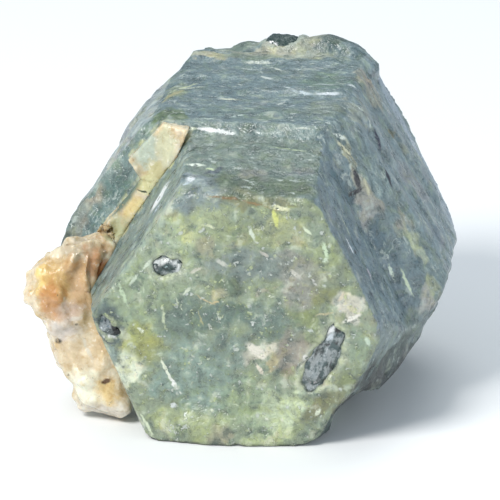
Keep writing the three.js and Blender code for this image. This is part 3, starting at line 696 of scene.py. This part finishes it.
def paintGround(piece, flakeGap, seamGap):  # ground colours, with the end in alpha; patches, with their cover
    rims = {name: Vector(colour[:3]) for name, colour in sapphireSkin["rims"].items()}
    ground = piece.data.color_attributes.new(name="ground", type="FLOAT_COLOR", domain="POINT")
    patched = piece.data.color_attributes.new(name="patches", type="FLOAT_COLOR", domain="POINT")
    for vertex in piece.data.vertices:
        spot = onCrystal(vertex.co)
        base = groundAt(spot, vertex.normal)
        endShare = ramp(spot.y, 1.0, 0.4) * ramp(-vertex.normal.y, 0.2, 0.6)
        ground.data[vertex.index].color = (*base[:3], endShare)
        place = spot
        for fineness, amount in sapphireSkin["patchSway"]:
            place = place + noise.noise_vector(spot * fineness) * amount
        colour, covered = Vector(base[:3]), 0.0
        for at, far, size, turned, top, cover in sapphireSkin["patches"]:
            away = place - at
            if abs(away.y) > far or abs(away.x) > far or abs(away.z) > far:
                continue
            local = turned @ away
            reach = math.sqrt(sum((part / half) ** 2 for part, half in zip(local, size)))
            share = ramp(reach, *softEdge) * cover
            if share > 0:
                colour, covered = layered(colour, covered, top, share)
        speckle = ramp(noise.noise(spot * 1.3), -0.3, 0.2)
        besides = (
            # pale crystal round the flakes, partly painted glints on their edges; dark round the left flake
            ("pale" if spot.x > -6 else "dark", ramp(flakeGap(spot), 0.7, 0.2) * 0.6),
            ("seam", ramp(seamGap(spot), 0.5, 0.15) * speckle * 0.8),
            # painted shade along the floor
            ("foot", ramp(spot.z, 0.3, 0.12) * 0.85),
        )
        for name, share in besides:
            if share > 0:
                colour, covered = layered(colour, covered, rims[name], share)
        patched.data[vertex.index].color = (*colour, covered)


def sapphireFinish():
    material, shader, spot = newFinish("cloudySapphire")
    fray = spot.noise(2.4, 3, 0.6, "Color")
    onEnd = spot.attribute("ground", "Alpha")
    onSides = 1 - onEnd
    across = spot.stretched((0.9, 1.25, 0.9))  # features on the sides run across the long axis
    broad = spot.noise(0.6, 3, 0.55)
    fineEnd = spot.noise(1.25, 4, 0.58, warp=0.3)
    fineSide = across.noise(1.15, 4, 0.6, warp=0.25)
    fine = fineEnd * onEnd + fineSide * onSides
    grit = spot.noise(3.8, 2, 0.6, warp=0.3)
    drift = spot.noise(1.1, 3, 0.6, warp=0.6)
    # patches with ragged edges on the ground colours, then warm, cool and rosy drifts
    ragged = spot.attribute("patches", "Alpha") + (fine - 0.5) * 0.9 + (grit - 0.5) * 0.5
    cover = ragged.between(0.15, 0.85)
    colour = (cover * 0.85).mixed(spot.attribute("ground", "Color"), spot.attribute("patches", "Color"))
    colour = drift.between(0.5, 0.64).mixed(colour, (1.07, 1.06, 0.88, 1), "MULTIPLY")
    colour = drift.between(0.5, 0.36).mixed(colour, (0.92, 0.97, 1.0, 1), "MULTIPLY")
    colour = broad.between(0.56, 0.68).mixed(colour, (1.1, 0.97, 0.97, 1), "MULTIPLY")
    dapple = 1 + (broad - 0.5) * 0.9 + (fine - 0.5) * (1.3 + onEnd * 0.2)
    colour = colour.shaded(dapple + (grit - 0.5) * (0.8 - onEnd * 0.3))
    # milky and dark clouds
    milk = (broad * 0.35 + fine * 0.65).between(0.55, 0.66)
    colour = (milk * (0.28 + onEnd * 0.32)).mixed(colour, tone(220, 228, 206, 1.25))
    murk = (drift * 0.45 + fine * 0.55).between(0.46, 0.38)
    colour = (murk * 0.4).mixed(colour, tone(84, 102, 98, 1.2))
    # veins and short dashes across the sides; the pale dashes are pale striae and painted glints
    cluster = spot.noise(0.7, 2, 0.5)
    dashes = spot.stretched((1.1, 2.3, 1.1)).noise(1.3, 2, 0.55, warp=0.3)
    wander = spot.stretched((0.75, 1.7, 0.75)).noise(0.8, 3, 0.55, warp=0.4) - 0.5
    veins = wander.math("ABSOLUTE", wander).between(0.016, 0.005) * cluster.between(0.5, 0.58) * onSides
    lights = dashes.between(0.585, 0.67) * cluster.between(0.42, 0.58) * onSides
    colour = lights.math("MAXIMUM", lights * 0.68, veins * 0.5).mixed(colour, tone(200, 212, 204, 1.2))
    darks = dashes.between(0.38, 0.30) * cluster.between(0.6, 0.45) * onSides
    colour = (darks * 0.32).mixed(colour, tone(62, 80, 82))
    # flecks on the six-sided end: pale inclusions, and painted glints on small facets
    clump = spot.noise(1.3, 3, 0.65)
    blobs = spot.noise(2.9, 3, 0.6).between(0.58, 0.65) * cluster.between(0.42, 0.58)
    dots = (spot.cells(2.1) + (grit - 0.5) * 1.3 - (clump - 0.5) * 2.2).between(0.12, 0.02)
    flecksAndGlints = dots.math("MAXIMUM", dots, blobs) * onEnd
    fleckColour = drift.between(0.42, 0.58).mixed(tone(232, 238, 230, 1.3), tone(212, 224, 172, 1.3))
    colour = (flecksAndGlints * 0.7).mixed(colour, fleckColour)
    # single needles, cracks and painted glints, in two groups: one long chain of masks renders black
    breaks = (grit + fine * 0.5).between(0.54, 0.65)
    swayed = spot.swayed(fray, 0.35)
    colour = marksOn(colour, swayed, sapphireSkin["endMarks"], breaks)
    swayed = swayed.swayed(swayed.noise(2.0, 2, 0.5, "Color"), 0.05)
    colour = marksOn(colour, swayed, sapphireSkin["sideMarks"], breaks)
    # worn edges are pale; cracks and hollows are darker, which paints shade into the hollows
    wear = spot.attribute("wear", "Fac") + (fine - 0.5) * 0.2
    rimColour = onEnd.mixed(tone(172, 184, 174, 1.2), tone(204, 212, 172, 1.3))
    colour = (wear.between(0.04, 0.13) * 0.6).mixed(colour, rimColour)
    colour = (wear.between(-0.07, -0.19) * 0.55).mixed(colour, tone(66, 82, 82))
    plug(shader, "Base Color", colour)
    plug(shader, "Roughness", (fine - flecksAndGlints * 0.3 - lights * 0.2).between(0.25, 0.7, 0.2, 0.46))
    plugBump(shader, fine + dashes * 0.1 * onSides + grit * 0.4 + flecksAndGlints * 0.3, 0.85, 0.3)
    glassy(shader, 1.77, 0.2, (1.0, 1.1, 0.9), 0.5)
    return material


def growSapphire():
    skin = skinOf("sapphire_crystal", "sapphire_skin", sapphireSkin["voxel"])
    flakeGap = gapTo(["mica_flake_right", "mica_flake_centre", "mica_flake_left", "mica_flake_crest"])
    seamGap = gapTo(["feldspar_matrix"])
    # where each change of shape acts, in millimetres and by how the skin faces
    raised = lambda spot: ramp(spot.z, 0.2, 0.8)
    side = lambda spot, normal: ramp(abs(normal.y), 0.9, 0.6) * ramp(spot.y, 0.0, 0.6) * raised(spot)
    uneven = lambda spot: 0.35 + 0.65 * ramp(noise.noise(spot * 0.45), -0.25, 0.35)
    foot = lambda spot, normal: ramp(spot.x, 5.8, 7.6) * ramp(spot.z, 5.2, 3.6) * ramp(normal.x, 0, 0.4)
    ragged = lambda spot: ramp(noise.noise(spot * 1.1), -0.35, 0.3)
    weigh(skin, "end", lambda spot, normal: ramp(-normal.y, 0.6, 0.9) * ramp(spot.y, 1.2, 0.5))
    weigh(skin, "sides", side)
    weigh(skin, "patchy", lambda spot, normal: side(spot, normal) * uneven(spot))
    rear = lambda spot, normal: ramp(normal.y, 0.2, 0.6) * raised(spot) * ramp(spot.z, 20.3, 18.8)
    weigh(skin, "broken", rear)
    weigh(skin, "crest", lambda spot, normal: ramp(spot.z, 19.5, 20.2) * ramp(spot.y, 20.2, 21.4))
    weigh(skin, "foot", lambda spot, normal: foot(spot, normal) * ramp(spot.y, 1.5, 3.5) * raised(spot))
    weigh(skin, "flakeRims", lambda spot, normal: ramp(flakeGap(spot), 0.6, 0.2) * ragged(spot))
    weigh(skin, "seamRims", lambda spot, normal: ramp(seamGap(spot), 0.7, 0.25))
    for group, amount in sapphireSkin["swollen"].items():
        swollen(skin, amount, group)
    swell(skin, sapphireSkin["swells"])
    relief(skin, "sides", **sapphireSkin["terraces"])
    relief(skin, "patchy", **sapphireSkin["striae"])
    relief(skin, "end", **sapphireSkin["lumps"])
    relief(skin, "broken", **sapphireSkin["brokenLumps"])
    relief(skin, **sapphireSkin["grain"])
    edges = skin.vertex_groups.new(name="edges")
    for vertex, height in zip(skin.data.vertices, convexity(skin, sapphireSkin["edgeRounds"])):
        spot = onCrystal(vertex.co)
        share = ramp(height, 0.04, 0.12) * raised(spot) * ramp(spot.y, 22.0, 20.0)
        edges.add([vertex.index], share, "REPLACE")
    relief(skin, "edges", **sapphireSkin["edgeChips"])
    onFloor(skin, 0.0)
    keepWearAndShade(skin, sapphireSkin["wearRounds"])
    paintGround(skin, flakeGap, seamGap)
    dressed(skin, sapphireFinish())
    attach(skin, "root")
    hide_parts("sapphire_crystal")
    print("sapphire grown:", len(skin.data.polygons), "faces")


growSapphire()


# feldspar

feldsparSkin = {
    "voxel": 0.1,
    "swollen": {"seal": 0.14, "seam": 0.04, "fillet": 0.3, "lobe": 0.12},
    "lumps": {"size": 1.3, "height": 0.45, "depth": 0, "middle": 0.55},
    "grains": {"size": 1.25, "height": -0.42, "kind": "VORONOI", "middle": 0.25},
    "grit": {"size": 0.45, "height": 0.05},
    "wearRounds": 16,
    "lobeAt": Vector((-13.4, 3.2, 9.3)),
    "light": 1.15,
    "swells": [
        ((-11.8, 2.2, 2.4), (2.2, 3.0, 2.8), (0.85, 0.0, 0.0)),
        ((-7.8, 2.2, 0.9), (1.7, 1.8, 1.3), (0.45, -0.35, 0.0)),
    ],
    "patches": [  # place, half sizes, colour, strength
        ((-13.9, 3.3, 9.0), (0.8, 2.0, 1.8), (240, 226, 200), 0.9),
        ((-12.3, 2.8, 9.7), (1.3, 2.0, 1.2), (222, 186, 126), 0.95),
        ((-13.1, 2.9, 9.9), (0.6, 1.4, 0.7), (244, 220, 152), 0.85),
        ((-12.2, 2.5, 8.6), (0.7, 1.8, 1.3), (214, 160, 108), 0.85),
        ((-10.6, 4.0, 11.7), (1.6, 1.9, 0.7), (206, 192, 166), 0.85),
        ((-9.6, 4.4, 10.7), (0.8, 1.9, 1.1), (216, 164, 120), 0.85),
        ((-10.9, 3.5, 10.3), (0.6, 1.6, 1.0), (210, 170, 122), 0.7),
        ((-10.3, 3.3, 8.8), (0.9, 1.6, 1.2), (230, 194, 152), 0.85),
        ((-11.1, 2.6, 7.8), (0.9, 1.2, 0.7), (216, 192, 172), 0.85),
        ((-11.5, 2.6, 6.4), (1.2, 1.5, 0.9), (230, 220, 210), 0.85),
        ((-10.3, 2.4, 4.8), (1.4, 1.5, 1.3), (240, 220, 186), 0.8),
        ((-10.2, 2.2, 2.4), (1.5, 1.8, 1.2), (255, 252, 230), 1.0),
        ((-8.6, 2.4, 2.4), (0.8, 1.4, 0.8), (244, 216, 160), 0.9),
        ((-8.6, 2.6, 0.8), (2.4, 2.4, 0.7), (240, 234, 222), 0.85),
        ((-6.4, 6.6, 18.0), (1.1, 1.6, 1.3), (194, 204, 188), 0.95),
        ((-5.0, 6.2, 18.4), (0.6, 1.6, 1.7), (218, 218, 186), 0.85),
        ((-5.7, 6.0, 16.3), (0.7, 1.6, 0.9), (214, 208, 160), 0.85),
        ((-6.4, 6.0, 15.6), (0.7, 1.0, 0.5), (228, 224, 176), 0.9),
        ((-7.1, 5.8, 13.9), (0.6, 1.0, 0.9), (236, 216, 158), 0.9),
        ((-8.2, 5.8, 12.5), (0.9, 1.2, 1.0), (194, 196, 158), 0.9),
    ],
    "marks": [
        mark((-7.1, 6.3, 16.0), (-8.5, 6.2, 13.8), 0.55, (108, 126, 116), 1.1),
        mark((-10.9, 3.4, 12.3), (-9.8, 4.2, 12.4), 0.2, (192, 156, 112)),
        mark((-13.3, 2.8, 10.6), (-11.6, 3.2, 9.0), 0.3, (206, 156, 98), 1.2, 0.6),
        mark((-9.6, 4.5, 9.6), (-8.8, 5.3, 11.0), 0.36, (222, 146, 92), 1.3),
        mark((-9.4, 4.8, 10.4), (-9.2, 5.0, 10.9), 0.14, (182, 104, 64), 1.3),
        # a painted glint
        mark((-11.3, 2.6, 8.8), (-10.8, 2.6, 9.1), 0.17, (255, 250, 232), 1.3),
        mark((-12.0, 2.9, 5.6), (-11.8, 2.9, 5.6), 0.2, (84, 82, 74), 1.3),
        mark((-10.5, 2.5, 6.9), (-10.5, 2.5, 6.9), 0.17, (104, 96, 84), 1.3),
        mark((-8.75, 2.5, 3.0), (-8.45, 2.5, 3.1), 0.17, (116, 86, 60), 1.3),
        mark((-12.5, 2.2, 8.1), (-12.5, 2.2, 8.1), 0.17, (176, 96, 54), 1.3),
        mark((-9.7, 4.0, 12.1), (-9.7, 4.0, 12.1), 0.12, (150, 128, 98), 1.3),
        mark((-11.7, 4.1, 11.9), (-11.3, 4.1, 12.1), 0.15, (110, 102, 86), 1.3),
        mark((-6.9, 6.0, 15.3), (-6.1, 5.9, 15.2), 0.08, (84, 92, 76), 1.3),
        mark((-3.9, 6.6, 19.3), (-4.6, 6.0, 17.6), 0.28, (124, 142, 126), 1.24),
        mark((-11.6, 2.6, 7.2), (-10.2, 2.7, 7.4), 0.12, (248, 236, 220), 1.3),
        mark((-10.2, 2.9, 5.8), (-9.7, 2.8, 4.7), 0.14, (252, 242, 222), 1.3),
    ],
}


def feldsparFinish():
    material, shader, spot = newFinish("creamFeldspar")
    light = feldsparSkin["light"]
    fray = spot.noise(1.2, 3, 0.6, "Color")
    swayed = spot.swayed(fray, 1.8)
    broad = spot.noise(0.8, 3, 0.6)
    fine = spot.noise(2.2, 4, 0.65, warp=0.4)
    colour = broad.between(0.38, 0.62).mixed(tone(222, 196, 154, light), tone(236, 224, 198, light))
    for at, size, patchColour, strength in feldsparSkin["patches"]:
        mask = blot(swayed, at, size, strength=strength, soft=0.9)
        colour = mask.mixed(colour, tone(*patchColour, light))
    colour = colour.shaded(1 + (fine - 0.5) * 0.7 + (broad - 0.5) * 0.3)
    colour = (fine.between(0.46, 0.34) * 0.7).mixed(colour, (0.98, 0.87, 0.72, 1), "MULTIPLY")
    glow = fine.between(0.58, 0.7)
    colour = (glow * 0.5).mixed(colour, tone(254, 250, 238, 1.25))
    dirt = spot.noise(2.6, 2, 0.5, warp=0.9).between(0.31, 0.24)
    colour = (dirt * 0.6).mixed(colour, tone(112, 102, 84, light))
    breaks = fine.between(0.30, 0.42)
    colour = marksOn(colour, spot.swayed(fray, 0.4), feldsparSkin["marks"], breaks)
    # darker in the creases: painted shade
    creases = spot.attribute("wear", "Fac").between(-0.03, -0.14)
    colour = (creases * 0.6).mixed(colour, tone(168, 138, 104, 1.2))
    plug(shader, "Base Color", colour)
    plug(shader, "Roughness", fine.between(0.3, 0.7, 0.1, 0.28))
    plugBump(shader, fine * 0.8 + spot.noise(6, 3) * 0.3, 0.4, 0.2)
    glassy(shader, 1.53, 0.6, (1.1, 0.9, 0.65), 0.7)
    return material


def growFeldspar():
    skin = skinOf("feldspar_matrix", "feldspar_skin", feldsparSkin["voxel"])
    crystalGap = gapTo(["sapphire_crystal"])
    chunk = lambda spot: ramp(spot.x, -7.6, -8.8) * ramp(spot.z, 0.3, 1.2)
    onSeam = lambda spot: ramp(spot.z, 11.4, 12.6)
    sealed = lambda spot: ramp(crystalGap(spot), 0.5, 0.2) * ramp(spot.z, 0.2, 0.6)
    weigh(skin, "seal", lambda spot, normal: sealed(spot) * (1 - onSeam(spot)))
    weigh(skin, "seam", lambda spot, normal: onSeam(spot))
    weigh(skin, "fillet", lambda spot, normal: chunk(spot) * ramp(crystalGap(spot), 1.6, 0.4))
    weigh(skin, "chunk", lambda spot, normal: chunk(spot) * ramp(crystalGap(spot), 0.2, 0.9))
    weigh(skin, "lobe", lambda spot, normal: ramp((spot - feldsparSkin["lobeAt"]).length, 2.2, 0.8))
    for group, amount in feldsparSkin["swollen"].items():
        swollen(skin, amount, group)
    swell(skin, feldsparSkin["swells"])
    relief(skin, "chunk", **feldsparSkin["lumps"])
    relief(skin, "chunk", **feldsparSkin["grains"])
    relief(skin, **feldsparSkin["grit"])
    onFloor(skin, 0.02)
    keepWearAndShade(skin, feldsparSkin["wearRounds"])
    dressed(skin, feldsparFinish())
    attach(skin, "root")
    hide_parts("feldspar_matrix")
    print("feldspar grown:", len(skin.data.polygons), "faces")


growFeldspar()


# mica

micaSkin = {
    "voxel": 0.06,
    "swollen": 0.2,
    "lumps": {"size": 0.7, "height": 0.34, "depth": 3},
    "sunk": {"right": (0, 0.34, 0), "centre": (0, 0.32, 0), "left": (0, 0.32, 0), "crest": (0, 0, -0.16)},
    "sheetTurn": -68,
    "marks": [
        # right flake: a painted highlight on a sheet end, dark edges and lilac sheets
        mark((6.2, 0, 8.2), (6.6, 0, 8.5), 0.26, (252, 253, 253), 1.3),
        mark((6.3, 0, 7.7), (6.5, 0, 7.9), 0.16, (226, 234, 240), 1.3),
        mark((6.95, 0, 8.35), (6.95, 0, 8.35), 0.24, (44, 52, 56), 1.3),
        mark((6.2, 0, 7.3), (6.9, 0, 7.5), 0.14, (48, 58, 64), 1.3),
        mark((4.9, 0, 4.4), (5.4, 0, 4.6), 0.16, (206, 196, 198), 1.3),
        # centre flake: a painted highlight on the rim round a dark heart
        mark((-5.2, 0, 12.35), (-4.0, 0, 12.95), 0.32, (246, 248, 244), 1.3),
        mark((-3.6, 0, 12.75), (-3.4, 0, 12.0), 0.3, (244, 247, 244), 1.3),
        mark((-4.5, 0, 12.05), (-4.0, 0, 12.2), 0.32, (76, 92, 90)),
        mark((-4.3, 0, 12.2), (-4.3, 0, 12.2), 0.13, (170, 192, 190), 1.3),
        # left flake
        mark((-8.3, 0, 8.3), (-8.1, 0, 7.8), 0.12, (140, 156, 166), 1.3),
        mark((-7.7, 0, 8.1), (-7.5, 0, 7.5), 0.3, (40, 50, 58), 1.3),
        mark((-8.7, 0, 8.7), (-8.4, 0, 8.3), 0.3, (66, 80, 90), 1.3),
        # crest flake: a painted highlight
        mark((0.1, 22.2, 20.35), (0.4, 22.1, 20.3), 0.26, (252, 253, 253), 1.3),
    ],
}


def micaFinish():
    material, shader, spot = newFinish("darkMica")
    fray = spot.noise(2.4, 3, 0.6, "Color")
    fine = spot.noise(2.6, 3, 0.6)
    turn = (0, math.radians(micaSkin["sheetTurn"]), 0)
    inSheets = {"Vector": spot, "Rotation": turn, "Scale": (1.6, 0.6, 0.42)}
    layers = spot.add("ShaderNodeMapping", {"vector_type": "TEXTURE"}, inSheets)
    sheets = layers.noise(1.0, 4, 0.6, warp=0.6)
    colour = fine.between(0.38, 0.58).mixed(tone(100, 114, 114, 1.25), tone(168, 174, 174, 1.25))
    colour = (sheets.between(0.45, 0.37) * 0.7).mixed(colour, tone(56, 70, 70, 1.2))
    colour = (sheets.between(0.54, 0.62) * 0.6).mixed(colour, tone(178, 186, 188, 1.3))
    colour = (sheets.between(0.60, 0.66) * fine.between(0.5, 0.6)).mixed(colour, tone(232, 238, 238, 1.3))
    crest = blot(spot, (1, 22.8, 20.4), (2, 2, 1.2))  # the flake on the crest is darker
    colour = (crest * 0.92).mixed(colour, tone(60, 82, 78, 1.1))
    colour = marksOn(colour, spot.swayed(fray, 0.4), micaSkin["marks"], fine.between(0.36, 0.46))
    plug(shader, "Base Color", colour)
    plug(shader, "Roughness", fine.between(0.3, 0.7, 0.14, 0.36))
    plugBump(shader, sheets * 0.7 + fine * 0.3, 0.8, 0.25)
    shader.inputs["Metallic"].default_value = 0.15
    shader.inputs["IOR"].default_value = 1.6
    return material


def growMica():
    finish = micaFinish()
    for name, move in micaSkin["sunk"].items():
        flake = skinOf("mica_flake_" + name, "mica_skin_" + name, micaSkin["voxel"])
        swollen(flake, micaSkin["swollen"])
        relief(flake, **micaSkin["lumps"])
        for vertex in flake.data.vertices:
            vertex.co += Vector(move) * mm
        dressed(flake, finish)
        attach(flake, "root")
        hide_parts("mica_flake_" + name)
    print("mica flakes grown")


growMica()
